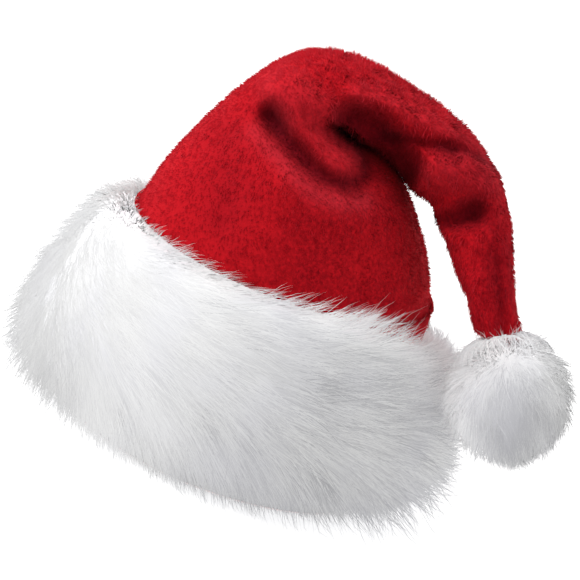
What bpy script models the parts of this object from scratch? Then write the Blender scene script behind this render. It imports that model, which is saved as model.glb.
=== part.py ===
"""Santa hat: a folded plush crown, a deep fur band and a fur pompom.

The hat stands on its band, with the rim of the head opening in the XY plane. The origin
is the middle of that rim, +Z runs up the crown, and the tail falls to +X and to the front,
which is -Y.
"""
import math
import random

import bmesh
import bpy
import numpy as np
from mathutils import Vector

# Crown, in metres
CROWN_RADIUS = 0.102        # outside of the plush, from the rim to the top of the band
CROWN_HEIGHT = 0.268        # rim plane to the top of the fold
PLUSH_WALL = 0.003          # backing and pile together
RIM_LIFT = 0.002            # raw edge of the plush above the band's underside
NECK_RADIUS = 0.009         # gathered end of the tail, inside the pompom's pile
NECK_LENGTH = 0.0025        # how far the gathered neck runs on from the last section
FOLD_LEAN = math.radians(17)    # folds are pressed in along a line this far below level

# Fur band, in metres
BAND_HEIGHT = 0.134
BAND_DEPTH = 0.033          # packed fur, from the plush outwards
BAND_LOCK_LENGTH = 0.036
BAND_LOCK_WIDTH = 0.024

# Pompom, in metres
POMPOM_RADIUS = 0.0375      # packed fur, without the loose tips
POMPOM_LOCK_LENGTH = 0.015
POMPOM_LOCK_WIDTH = 0.014
POMPOM_LOCK_DROOP = 0.1     # fall of a lock's tip, as a share of its length
POMPOM_LOCK_SWEEP = (0.4, 0.9)      # least and most lean of a lock away from the neck
POMPOM_HANG = Vector((0.52, -0.23, -0.82)).normalized()

SEW_GAP = 0.0003            # running gap wherever two pieces meet
LOCK_ROOT = 0.004           # how deep a lock's root sits in the packed fur
LOCK_SHAPE = (0.62, 0.36)   # half breadth and half thickness, as shares of a lock's width
LOCK_TAPER = ((0.0, 1.0), (0.55, 0.72))     # place along a lock, share of its width there
LOCK_SIDES = 3
LOCK_RANGE = (0.85, 1.1)    # smallest and largest lock, as shares of its stated size
TURN_JITTER = 0.2           # of the spacing round a row
LEVEL_JITTER = 0.03         # of BAND_HEIGHT
OUT_JITTER = 0.1            # of a lock's outward part
UP_JITTER = 0.12            # of a lock's upward part
TILT_JITTER = 5             # degrees, on the pompom
ROOM_STEP = 0.8             # a lock in the pompom's way is shortened by this share, step by step
FLOOR_GAP = 0.0015          # lowest lock tip above the band's flat underside
SEED = 24

# How finely the pieces are laid out
CROWN_SIDES = 36
CROWN_RINGS = ((0, 1.0), (5, 0.37), (9, 0.72), (19, 0.6), (22, 1.0))   # section, rings' step
CROWN_FRONT_BIAS = 0.5      # crowds the sides of a ring towards the folded side
CROWN_FOLDED_SIDE = math.radians(65)    # round a ring from its inner point to the front
BAND_SIDES = 48
POMPOM_SIDES = 18
POMPOM_RINGS = 11

# Sections of the crown from the rim to the end of the tail. Each is an ellipse between an
# outer point, on the long way round the bend, and an inner point, on the short way. x,
# sway and the depths are shares of CROWN_RADIUS, z are shares of CROWN_HEIGHT.
# outer_x outer_z inner_x inner_z  sway   front back
SECTIONS = (
    (-1.00, 0.000, 1.00, 0.000, 0.00, 1.00, 1.00),
    (-1.00, 0.450, 0.99, 0.450, 0.00, 0.99, 0.99),
    (-0.985, 0.500, 0.96, 0.500, 0.00, 0.98, 0.98),
    (-0.96, 0.550, 0.91, 0.550, 0.00, 0.96, 0.96),
    (-0.925, 0.604, 0.84, 0.604, 0.00, 0.93, 0.93),
    (-0.87, 0.658, 0.74, 0.658, 0.00, 0.88, 0.88),
    (-0.80, 0.723, 0.61, 0.723, 0.00, 0.81, 0.82),
    (-0.72, 0.785, 0.41, 0.782, 0.00, 0.71, 0.75),
    (-0.63, 0.847, 0.19, 0.817, 0.00, 0.59, 0.67),
    (-0.53, 0.907, 0.03, 0.837, 0.00, 0.51, 0.61),
    (-0.44, 0.946, 0.01, 0.844, 0.00, 0.47, 0.57),
    (-0.33, 0.974, 0.02, 0.851, 0.00, 0.45, 0.55),
    (-0.14, 0.997, 0.08, 0.847, 0.00, 0.43, 0.53),
    (0.05, 0.999, 0.15, 0.835, 0.02, 0.42, 0.51),
    (0.25, 0.988, 0.26, 0.821, 0.04, 0.41, 0.49),
    (0.45, 0.971, 0.37, 0.801, 0.06, 0.40, 0.47),
    (0.63, 0.953, 0.49, 0.774, 0.06, 0.39, 0.45),
    (0.79, 0.932, 0.60, 0.751, 0.04, 0.37, 0.43),
    (0.91, 0.908, 0.69, 0.746, 0.00, 0.35, 0.40),
    (1.02, 0.884, 0.74, 0.737, -0.06, 0.33, 0.37),
    (1.11, 0.856, 0.79, 0.719, -0.12, 0.31, 0.34),
    (1.18, 0.825, 0.84, 0.703, -0.18, 0.29, 0.31),
    (1.27, 0.772, 0.92, 0.672, -0.27, 0.26, 0.27),
    (1.34, 0.716, 1.02, 0.637, -0.35, 0.24, 0.24),
    (1.42, 0.656, 1.12, 0.601, -0.43, 0.20, 0.20),
    (1.535, 0.583, 1.250, 0.538, -0.50, 0.15, 0.15),
)

# Folds pressed into the front of the crown. Each runs along its points (x as a share of
# CROWN_RADIUS, height across the line of pressing as a share of CROWN_HEIGHT) and acts
# between two sections. Width and push are shares of CROWN_RADIUS; a push below zero is a
# crease, above zero a roll. The edge is low for a sharp line, high for a plump roll.
# name, first section, last section, width, push, edge, points
FOLDS = (
    ("hip", 2, 8, 0.150, -0.035, 2.0, ((-0.61, 0.684), (-0.51, 0.584), (-0.44, 0.494))),
    ("lobe", 5, 15, 0.165, 0.175, 3.5,
     ((-0.38, 0.835), (-0.22, 0.803), (-0.08, 0.775), (0.03, 0.750), (0.10, 0.730))),
    ("crease", 3, 12, 0.055, -0.120, 1.4,
     ((-0.40, 0.762), (-0.30, 0.734), (-0.18, 0.709), (-0.04, 0.684), (0.06, 0.673),
      (0.16, 0.675), (0.24, 0.690), (0.28, 0.715), (0.26, 0.742), (0.19, 0.770),
      (0.10, 0.800))),
    ("dimple", 4, 12, 0.087, -0.060, 2.0, ((-0.42, 0.770), (-0.34, 0.750))),
    ("underRoll", 3, 11, 0.160, 0.050, 2.0, ((-0.12, 0.625), (0.09, 0.603), (0.37, 0.635))),
    ("hollow", 8, 20, 0.115, -0.270, 3.0,
     ((0.10, 0.813), (0.20, 0.815), (0.33, 0.794), (0.48, 0.754))),
    ("roof", 12, 20, 0.087, 0.069, 2.0,
     ((0.06, 0.880), (0.25, 0.895), (0.50, 0.888), (0.72, 0.878), (0.91, 0.860))),
    ("seam", 13, 21, 0.035, -0.075, 1.3,
     ((0.32, 0.817), (0.52, 0.831), (0.71, 0.846), (0.83, 0.855), (0.97, 0.850))),
    ("bulge", 15, 21.5, 0.130, 0.110, 3.0, ((0.70, 0.779), (0.84, 0.798), (0.97, 0.808))),
    ("lip", 19.3, 25, 0.090, -0.150, 2.5, ((0.74, 0.687), (0.85, 0.701), (0.96, 0.723))),
    ("groove", 22, 26, 0.045, -0.045, 1.4,
     ((1.22, 0.641), (1.28, 0.593), (1.36, 0.532), (1.44, 0.465))),
)
FOLD_FADE = 0.7             # sections over which a fold comes in and dies out
FOLD_FACING = 0.35          # how squarely the plush must face the press to take a full fold

# Outline of the packed fur: reach as a share of BAND_DEPTH, height of BAND_HEIGHT, from
# the top of the outer side down to the floor and back under to the plush.
# reach, height
BAND_OUTLINE = (
    (0.00, 1.00), (0.22, 0.99), (0.50, 0.92), (0.76, 0.76), (0.94, 0.56), (1.00, 0.36),
    (0.95, 0.18), (0.82, 0.06), (0.62, 0.00), (0.00, 0.00),
)

# Rows of fur locks on the band. Height is a share of BAND_HEIGHT, the length a share of
# BAND_LOCK_LENGTH. Out, round and up are the parts of the lock's direction, and droop is
# how far its tip falls.
# height count length out   round  up    droop
BAND_ROWS = (
    (0.93, 25, 0.75, 0.35, 0.70, 0.55, 0.10),
    (0.76, 25, 1.00, 0.50, 0.95, 0.10, 0.20),
    (0.55, 26, 1.10, 0.50, 0.95, -0.15, 0.30),
    (0.33, 26, 1.10, 0.50, 0.75, -0.40, 0.30),
    (0.13, 27, 0.95, 0.60, 0.50, -0.35, 0.20),
)

# Rings of fur locks on the pompom, by their angle from the tail's neck.
# degrees from the neck, count
POMPOM_ROWS = ((46, 9), (69, 11), (93, 12), (117, 10), (142, 7), (168, 3))


def clear_scene():
    """Removes whatever the file held."""
    for item in list(bpy.data.objects):
        bpy.data.objects.remove(item, do_unlink=True)


def make_collection(name):
    """A new collection in the scene."""
    group = bpy.data.collections.new(name)
    bpy.context.scene.collection.children.link(group)
    return group


def make_material(name, colour, roughness):
    """A plain material of one colour."""
    material = bpy.data.materials.new(name)
    material.use_nodes = True
    shader = material.node_tree.nodes["Principled BSDF"]
    shader.inputs["Base Color"].default_value = (*colour, 1.0)
    shader.inputs["Roughness"].default_value = roughness
    shader.inputs["Metallic"].default_value = 0.0
    return material


def make_object(name, mesh, group, material=None):
    """An object for a mesh, in its collection and with its material."""
    made = bpy.data.objects.new(name, mesh)
    group.objects.link(made)
    if material:
        mesh.materials.append(material)
    return made


def mesh_from(name, shape):
    """A mesh from a bmesh, with its faces turned outwards."""
    bmesh.ops.recalc_face_normals(shape, faces=shape.faces)
    mesh = bpy.data.meshes.new(name)
    shape.to_mesh(mesh)
    shape.free()
    return mesh


def spline(rows, places):
    """Catmull-Rom curve through the rows of a table, read at places from 0 to its end."""
    rows = np.asarray(rows, dtype=float)
    last = len(rows) - 1
    ends = np.vstack([2 * rows[0] - rows[1], rows, 2 * rows[-1] - rows[-2]])
    places = np.clip(places, 0, last)
    index = np.minimum(places.astype(int), last - 1)
    part = (places - index)[..., None]
    a, b, c, d = (ends[index + step] for step in range(4))
    return 0.5 * (2 * b + (c - a) * part + (2 * a - 5 * b + 4 * c - d) * part ** 2
                  + (3 * b - 3 * c + d - a) * part ** 3)


def ease(low, high, value):
    """0 below low, 1 above high, and a smooth step between them."""
    part = np.clip((value - low) / (high - low), 0, 1)
    return part * part * (3 - 2 * part)


def crown_places():
    """Where the crown's rings lie along the table of sections."""
    last = len(SECTIONS) - 1
    ends = [start for start, _step in CROWN_RINGS[1:]] + [last]
    runs = [np.linspace(start, end, round((end - start) / step), endpoint=False)
            for (start, step), end in zip(CROWN_RINGS, ends)]
    return np.append(np.concatenate(runs), last)


def crown_angles():
    """Angles round a ring, closer together at the front."""
    even = np.linspace(0, 2 * math.pi, CROWN_SIDES, endpoint=False)
    return even - CROWN_FRONT_BIAS * np.sin(even - CROWN_FOLDED_SIDE)


def section_points(places, angles):
    """Points of the crown without its folds, as rings by sides by (x, y, z)."""
    table = spline(SECTIONS, places)[:, None, :]
    outer_x, outer_z, inner_x, inner_z, sway, front, back = np.moveaxis(table, -1, 0)
    across, depth = np.cos(angles), np.sin(angles)
    x = (outer_x + inner_x) / 2 + (inner_x - outer_x) / 2 * across
    z = (outer_z + inner_z) / 2 + (inner_z - outer_z) / 2 * across
    y = sway - np.where(depth > 0, front, back) * depth
    points = np.stack([x * CROWN_RADIUS, y * CROWN_RADIUS, z * CROWN_HEIGHT], axis=-1)
    points[..., 2] += RIM_LIFT * (1 - ease(0, 1, places))[:, None]
    return points


def outward(points):
    """Unit normals of a grid of rings that closes round its sides."""
    along = np.gradient(points, axis=0)
    around = np.roll(points, -1, axis=1) - np.roll(points, 1, axis=1)
    normal = np.cross(along, around)
    return normal / np.linalg.norm(normal, axis=-1, keepdims=True)


def distance_to(path, flat):
    """Distance from points in a plane to a smooth path in it."""
    curve = spline(path, np.linspace(0, len(path) - 1, 8 * len(path)))
    nearest = np.full(flat.shape[:2], np.inf)
    for start, end in zip(curve[:-1], curve[1:]):
        run = end - start
        part = np.clip((flat - start) @ run / (run @ run), 0, 1)
        nearest = np.minimum(nearest, np.linalg.norm(flat - start - part[..., None] * run, axis=-1))
    return nearest


def folded_points(places, angles):
    """Points of the crown with the folds pressed into its front."""
    points = section_points(places, angles)
    press = np.array([0, -math.cos(FOLD_LEAN), math.sin(FOLD_LEAN)])
    facing = ease(0, FOLD_FACING, outward(points) @ press)
    height = points[..., 2] * math.cos(FOLD_LEAN) + points[..., 1] * math.sin(FOLD_LEAN)
    flat = np.stack([points[..., 0], height], axis=-1)
    size = np.array([CROWN_RADIUS, CROWN_HEIGHT])
    total = np.zeros(facing.shape)
    for _name, first, last, width, push, edge, path in FOLDS:
        away = distance_to(np.array(path) * size, flat)
        span = (ease(first - FOLD_FADE, first + FOLD_FADE, places)
                * (1 - ease(last - FOLD_FADE, last + FOLD_FADE, places)))
        total += push * np.exp(-(away / (width * CROWN_RADIUS)) ** edge) * span[:, None]
    return points + (total * facing * CROWN_RADIUS)[..., None] * press


def tail_end():
    """Middle of the last section, where the pompom hangs."""
    outer_x, outer_z, inner_x, inner_z, sway, _front, _back = SECTIONS[-1]
    return Vector(((outer_x + inner_x) / 2 * CROWN_RADIUS, sway * CROWN_RADIUS,
                   (outer_z + inner_z) / 2 * CROWN_HEIGHT))


def pompom_centre():
    """Middle of the pompom, below the neck of the tail."""
    return tail_end() + POMPOM_HANG * (NECK_LENGTH + SEW_GAP + POMPOM_RADIUS)


def neck_ring(angles):
    """Ring of the gathered neck, square to the way the pompom hangs."""
    middle = tail_end() + POMPOM_HANG * NECK_LENGTH
    forward = Vector((0, -1, 0))
    deep = (forward - POMPOM_HANG * forward.dot(POMPOM_HANG)).normalized()
    across = deep.cross(POMPOM_HANG)
    return [middle + NECK_RADIUS * (math.cos(angle) * -across + math.sin(angle) * deep)
            for angle in angles]


def build_crown(group):
    """Plush shell, open at the rim and closed at the neck, one sewn piece with its tail."""
    angles = crown_angles()
    shape = bmesh.new()
    rings = [[shape.verts.new(point) for point in ring]
             for ring in folded_points(crown_places(), angles)]
    rings.append([shape.verts.new(point) for point in neck_ring(angles)])
    for low, high in zip(rings[:-1], rings[1:]):
        for side in range(CROWN_SIDES):
            after = (side + 1) % CROWN_SIDES
            shape.faces.new((low[side], low[after], high[after], high[side]))
    shape.faces.new(rings[-1])
    mesh = mesh_from("crown", shape)
    mesh.shade_smooth()
    crown = make_object("crown", mesh, group, make_material("red_plush", (0.48, 0.010, 0.018), 0.9))
    wall = crown.modifiers.new("wall", "SOLIDIFY")
    wall.thickness = PLUSH_WALL
    wall.offset = -1
    return crown


def add_lock(shape, root, normal, lean, droop, length, width, inside=0.0):
    """One flat tapered lock of fur on a drooping curve: a root ring, a waist ring and a tip.

    It lies along the surface that the normal stands on, and keeps off the floor and outside
    a cylinder of the given radius about the Z axis.
    """
    side = lean.cross(normal).normalized()
    top = side.cross(lean)
    fall = Vector((0, 0, -droop * length))
    loops = []
    for part, share in LOCK_TAPER:
        middle = root + lean * (length * part) + fall * part ** 2
        loop = []
        for corner in range(LOCK_SIDES):
            angle = math.pi / 2 + 2 * math.pi * corner / LOCK_SIDES
            spoke = side * math.cos(angle) * LOCK_SHAPE[0] + top * math.sin(angle) * LOCK_SHAPE[1]
            loop.append(middle + spoke * width * share)
        loops.append(loop)
    tip = root + lean * length + fall
    for point in loops[0] + loops[1] + [tip]:
        point.z = max(point.z, FLOOR_GAP)
        point.xy *= max(1.0, inside / point.xy.length)
    low, high = ([shape.verts.new(point) for point in loop] for loop in loops)
    end = shape.verts.new(tip)
    shape.faces.new(low)
    for corner in range(LOCK_SIDES):
        after = (corner + 1) % LOCK_SIDES
        shape.faces.new((low[corner], low[after], high[after], high[corner]))
        shape.faces.new((high[corner], high[after], end))


def fuse_locks(core, locks):
    """Joins a set of locks to the packed fur under them, as one solid."""
    locks.hide_render = True
    locks.display_type = "WIRE"
    union = core.modifiers.new("locks", "BOOLEAN")
    union.operation = "UNION"
    union.solver = "EXACT"
    union.use_self = True
    union.object = locks


def band_radius():
    """Inside of the band, sewn round the plush."""
    return CROWN_RADIUS + SEW_GAP


def band_reach(height):
    """Radius of the packed fur's outside at a share of the band's height."""
    reach, level = np.array(BAND_OUTLINE[:-1]).T
    return band_radius() + BAND_DEPTH * np.interp(height, level[::-1], reach[::-1])


def room_length(root, lean, length):
    """Length of a lock on the band, cut short where the pompom lies against it."""
    room = POMPOM_RADIUS + POMPOM_LOCK_LENGTH
    while length > LOCK_ROOT and (root + lean * length - pompom_centre()).length < room:
        length *= ROOM_STEP
    return length


def build_band(group, tools):
    """Ring of packed fur with a flat underside, and its rows of locks."""
    outline = bmesh.new()
    points = [outline.verts.new((band_radius() + reach * BAND_DEPTH, 0, level * BAND_HEIGHT))
              for reach, level in BAND_OUTLINE]
    for start, end in zip(points, points[1:] + points[:1]):
        outline.edges.new((start, end))
    profile = bpy.data.meshes.new("fur_band")
    outline.to_mesh(profile)
    outline.free()
    band = make_object("fur_band", profile, group, make_material("white_fur", (0.86, 0.86, 0.87), 0.95))
    turn = band.modifiers.new("turn", "SCREW")
    turn.steps = turn.render_steps = BAND_SIDES
    turn.use_merge_vertices = True
    turn.merge_threshold = SEW_GAP / 10

    rng = random.Random(SEED)
    shape = bmesh.new()
    for row, (height, count, length, out, around, up, droop) in enumerate(BAND_ROWS):
        for number in range(count):
            turned = number + 0.5 * (row % 2) + rng.uniform(-TURN_JITTER, TURN_JITTER)
            angle = 2 * math.pi * turned / count
            level = height + rng.uniform(-LEVEL_JITTER, LEVEL_JITTER)
            radial = Vector((math.cos(angle), math.sin(angle), 0))
            ahead = Vector((-math.sin(angle), math.cos(angle), 0))
            lean = radial * (out + rng.uniform(-OUT_JITTER, OUT_JITTER)) + ahead * around
            lean = (lean + Vector((0, 0, up + rng.uniform(-UP_JITTER, UP_JITTER)))).normalized()
            root = radial * (band_reach(level) - LOCK_ROOT) + Vector((0, 0, level * BAND_HEIGHT))
            full = BAND_LOCK_LENGTH * length * rng.uniform(*LOCK_RANGE)
            width = BAND_LOCK_WIDTH * rng.uniform(*LOCK_RANGE)
            add_lock(shape, root, radial, lean, droop, room_length(root, lean, full), width,
                     band_radius() + SEW_GAP)
    fuse_locks(band, make_object("band_locks", mesh_from("band_locks", shape), tools))
    return band


def build_pompom(group, tools):
    """Ball of packed fur with short locks all round, bare where the neck comes in."""
    centre = pompom_centre()
    shape = bmesh.new()
    bmesh.ops.create_uvsphere(shape, u_segments=POMPOM_SIDES, v_segments=POMPOM_RINGS,
                              radius=POMPOM_RADIUS)
    turn = Vector((0, 0, 1)).rotation_difference(-POMPOM_HANG)
    for vert in shape.verts:
        vert.co = centre + turn @ vert.co
    mesh = mesh_from("pompom", shape)
    mesh.shade_smooth()
    pompom = make_object("pompom", mesh, group, make_material("white_pile", (0.84, 0.84, 0.85), 0.95))

    rng = random.Random(SEED)
    locks = bmesh.new()
    for row, (degrees, count) in enumerate(POMPOM_ROWS):
        for number in range(count):
            turned = number + 0.5 * (row % 2) + rng.uniform(-TURN_JITTER, TURN_JITTER)
            around = 2 * math.pi * turned / count
            tilt = math.radians(degrees + rng.uniform(-TILT_JITTER, TILT_JITTER))
            spoke = Vector((math.sin(tilt) * math.cos(around), math.sin(tilt) * math.sin(around),
                            math.cos(tilt)))
            down = Vector((math.cos(tilt) * math.cos(around), math.cos(tilt) * math.sin(around),
                           -math.sin(tilt)))
            lean = (spoke + down * rng.uniform(*POMPOM_LOCK_SWEEP)).normalized()
            root = centre + turn @ (spoke * (POMPOM_RADIUS - LOCK_ROOT))
            add_lock(locks, root, turn @ spoke, turn @ lean, POMPOM_LOCK_DROOP,
                     POMPOM_LOCK_LENGTH * rng.uniform(*LOCK_RANGE),
                     POMPOM_LOCK_WIDTH * rng.uniform(*LOCK_RANGE))
    fuse_locks(pompom, make_object("pompom_locks", mesh_from("pompom_locks", locks), tools))
    return pompom


def main():
    clear_scene()
    hat = make_collection("santa_hat")
    tools = make_collection("cutters")
    build_crown(hat)
    build_band(hat, tools)
    build_pompom(hat, tools)


if __name__ == "__main__":
    main()
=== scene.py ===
import math
import time

import bpy
import numpy as np
from mathutils import Matrix, Vector


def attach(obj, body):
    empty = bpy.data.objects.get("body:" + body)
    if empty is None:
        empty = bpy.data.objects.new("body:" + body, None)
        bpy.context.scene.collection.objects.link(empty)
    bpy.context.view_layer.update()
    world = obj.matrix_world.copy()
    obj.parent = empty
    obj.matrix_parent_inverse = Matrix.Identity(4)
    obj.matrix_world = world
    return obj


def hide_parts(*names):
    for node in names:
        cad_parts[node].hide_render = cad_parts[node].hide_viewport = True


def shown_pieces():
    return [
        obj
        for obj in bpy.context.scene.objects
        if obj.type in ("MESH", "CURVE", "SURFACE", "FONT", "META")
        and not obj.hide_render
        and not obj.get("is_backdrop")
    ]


started = time.time()
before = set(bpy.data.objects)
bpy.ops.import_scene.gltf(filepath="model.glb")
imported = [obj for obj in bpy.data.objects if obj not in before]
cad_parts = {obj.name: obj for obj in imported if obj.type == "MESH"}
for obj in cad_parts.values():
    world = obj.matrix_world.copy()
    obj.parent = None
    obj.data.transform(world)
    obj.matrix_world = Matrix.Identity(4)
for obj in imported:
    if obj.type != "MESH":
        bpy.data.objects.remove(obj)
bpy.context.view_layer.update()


# Prints a stage's name and the seconds since the start.
def report(stage):
    print(f"{stage}: {time.time() - started:.1f} s")


# Named sizes of the hat, in metres, as in the CAD
crownRadius = 0.102
crownHeight = 0.268
plushWall = 0.003
rimLift = 0.002
neckRadius = 0.009
neckLength = 0.0025
foldLean = math.radians(17)
bandHeight = 0.134
bandDepth = 0.033
pompomRadius = 0.0375
sewGap = 0.0003
pompomHang = np.array(Vector((0.52, -0.23, -0.82)).normalized())
pressDirection = np.array([0, -math.cos(foldLean), math.sin(foldLean)])
flatSide = (-0.07, 0.03)  # x where the flat pile at the left turns into the crushed pile


# Catmull-Rom curve through a table's rows a, b, c, d, read at places from 0 to its last row:
# p = (2b + (c - a) t + (2a - 5b + 4c - d) t^2 + (3b - 3c + d - a) t^3) / 2.
def spline(rows, places):
    rows = np.asarray(rows, dtype=float)
    last = len(rows) - 1
    ends = np.vstack([2 * rows[0] - rows[1], rows, 2 * rows[-1] - rows[-2]])
    places = np.clip(places, 0, last)
    index = np.minimum(places.astype(int), last - 1)
    part = (places - index)[..., None]
    a, b, c, d = (ends[index + step] for step in range(4))
    return 0.5 * (2 * b + (c - a) * part + (2 * a - 5 * b + 4 * c - d) * part ** 2
                  + (3 * b - 3 * c + d - a) * part ** 3)


# Smooth step w = t t (3 - 2 t), with t from 0 at low to 1 at high.
def ease(low, high, value):
    part = np.clip((value - low) / (high - low), 0, 1)
    return part * part * (3 - 2 * part)


# Unit vectors v / |v| along the last axis.
def unit(vectors):
    return vectors / np.maximum(np.linalg.norm(vectors, axis=-1, keepdims=True), 1e-9)


# Smooth noise from -1 to 1: random numbers at the corners of cubes of the given size, blended
# inside each cube by w = t t (3 - 2 t) along x, y and z.
def cloud(points, size, seed):
    table = np.random.default_rng(seed).uniform(-1, 1, (32, 32, 32))
    place = points / size + 64.0
    cell = np.floor(place).astype(int)
    part = place - cell
    part = part * part * (3 - 2 * part)
    total = np.zeros(points.shape[:-1])
    for corner in range(8):
        step = np.array([corner & 1, corner >> 1 & 1, corner >> 2 & 1])
        weight = np.prod(np.where(step, part, 1 - part), axis=-1)
        at = (cell + step) % 32
        total += weight * table[at[..., 0], at[..., 1], at[..., 2]]
    return total


# A mesh object from arrays: points (n, 3), sets of faces with k corners, named point values.
def addMesh(name, points, faceSets, material, values, normals=None):
    mesh = bpy.data.meshes.new(name)
    sizes = np.concatenate([np.full(len(faces), faces.shape[1]) for faces in faceSets])
    corners = np.concatenate([faces.ravel() for faces in faceSets])
    mesh.vertices.add(len(points))
    mesh.vertices.foreach_set("co", points.astype(np.float32).ravel())
    mesh.loops.add(len(corners))
    mesh.loops.foreach_set("vertex_index", corners.astype(np.int32))
    mesh.polygons.add(len(sizes))
    mesh.polygons.foreach_set("loop_start", (np.cumsum(sizes) - sizes).astype(np.int32))
    mesh.polygons.foreach_set("use_smooth", np.ones(len(sizes), bool))
    for key, value in values.items():
        layer = mesh.attributes.new(key, "FLOAT", "POINT")
        layer.data.foreach_set("value", np.asarray(value, np.float32).ravel())
    mesh.update(calc_edges=True)
    if normals is not None:
        mesh.normals_split_custom_set_from_vertices(normals.reshape(-1, 3).astype(np.float32))
    mesh.materials.append(material)
    made = bpy.data.objects.new(name, mesh)
    bpy.context.scene.collection.objects.link(made)
    return made


# Quads of a grid of rings that closes round its sides: corner (r, s) is r * sides + s.
def ringFaces(rings, sides, start=0, flip=False):
    ring, side = np.meshgrid(np.arange(rings - 1), np.arange(sides), indexing="ij")
    after = (side + 1) % sides
    quads = np.stack([ring * sides + side, (ring + 1) * sides + side,
                      (ring + 1) * sides + after, ring * sides + after], axis=-1).reshape(-1, 4)
    return start + (quads[:, ::-1] if flip else quads)


# Closed three-sided needles along paths (n, m + 1, 3): at ring k, of m, the corners are
# p_k + r_k (cos a S + flat sin a U), with a = twist + 0, 120, 240 degrees, T the path's
# direction, S = unit(T x guide) and U = T x S. A twist of 90 faces one side to the guide. The
# needles are shaded softly, by normals unit(soft guide + (1 - soft) spoke).
def addNeedles(name, paths, radii, guide, flat, material, values, soft=0.7, twist=0.0):
    count, rings = len(paths), paths.shape[1] - 1
    ahead = unit(np.gradient(paths, axis=1))[:, :rings]
    aside = unit(np.cross(ahead, guide[:, None, :]))
    above = np.cross(ahead, aside)
    turn = np.broadcast_to(twist, count)[:, None] + np.array([0, 120, 240])
    turn = np.radians(turn)[:, None, :, None]
    spokes = np.cos(turn) * aside[:, :, None] + flat * np.sin(turn) * above[:, :, None]
    loops = paths[:, :rings, None] + radii[:, :, None, None] * spokes
    points = np.concatenate([loops.reshape(count, -1, 3), paths[:, rings:]], axis=1)
    soft = np.broadcast_to(soft, count)[:, None, None, None]
    shade = unit(soft * guide[:, None, None] + (1 - soft) * unit(spokes)).reshape(count, -1, 3)
    shade = np.concatenate([shade, guide[:, None]], axis=1)
    each = 3 * rings + 1
    one = [[0, 2, 1]]
    for low in range(0, 3 * (rings - 1), 3):
        for side in range(3):
            after = (side + 1) % 3
            one += [[low + side, low + after, low + 3 + after],
                    [low + side, low + 3 + after, low + 3 + side]]
    low = 3 * (rings - 1)
    one += [[low, low + 1, low + 3], [low + 1, low + 2, low + 3], [low + 2, low, low + 3]]
    faces = np.arange(count)[:, None, None] * each + np.array(one)[None]
    along = np.append(np.repeat(np.arange(rings), 3), rings) / rings
    spread = {key: np.repeat(value[:, None], each, axis=1) for key, value in values.items()}
    spread["along"] = np.repeat(along[None], count, axis=0)
    return addMesh(name, points.reshape(-1, 3), [faces.reshape(-1, 3)], material, spread, shade)


# One node of a material's tree, its inputs set by name.
def addNode(tree, kind, inputs=(), **settings):
    node = tree.nodes.new(kind)
    for key, value in settings.items():
        setattr(node, key, value)
    for key, value in dict(inputs).items():
        if isinstance(value, bpy.types.NodeSocket):
            tree.links.new(value, node.inputs[key])
        else:
            node.inputs[key].default_value = value
    return node


# Sets a node's inputs by name.
def setInputs(node, values):
    for key, value in values.items():
        node.inputs[key].default_value = value


# A colour between two: (1 - t) a + t b.
def blendColour(tree, factor, first, second):
    node = addNode(tree, "ShaderNodeMix", data_type="RGBA")
    sockets = node.inputs[0], node.inputs[6], node.inputs[7]  # factor, A and B of a colour mix
    for socket, value in zip(sockets, (factor, first, second)):
        if isinstance(value, bpy.types.NodeSocket):
            tree.links.new(value, socket)
        else:
            socket.default_value = value
    return node.outputs[2]


# A value moved from one range to another, and held inside it.
def remap(tree, value, low, high, toLow=0.0, toHigh=1.0):
    node = addNode(tree, "ShaderNodeMapRange",
                   {"From Min": low, "From Max": high, "To Min": toLow, "To Max": toHigh})
    tree.links.new(value, node.inputs["Value"])
    return node.outputs["Result"]


# A cloth or fur material: hardly any gloss, and a sheen of the given weight and tint.
def newMaterial(name, roughness, sheen, sheenTint):
    material = bpy.data.materials.new(name)
    material.use_nodes = True
    tree = material.node_tree
    shader = tree.nodes["Principled BSDF"]
    setInputs(shader, {"Roughness": roughness, "Specular IOR Level": 0.06, "Sheen Weight": sheen,
                       "Sheen Tint": sheenTint, "Sheen Roughness": 0.5})
    return material, tree, shader


# Noise on Object coordinates, with its scale in waves to a metre.
def objectNoise(tree, scale, detail=2.0, rough=0.5):
    place = addNode(tree, "ShaderNodeTexCoord").outputs["Object"]
    settings = {"Vector": place, "Scale": scale, "Detail": detail, "Roughness": rough}
    return addNode(tree, "ShaderNodeTexNoise", settings).outputs["Fac"]


# A named value per point, as addMesh stores it.
def attribute(tree, name):
    return addNode(tree, "ShaderNodeAttribute", attribute_name=name).outputs["Fac"]


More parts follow.
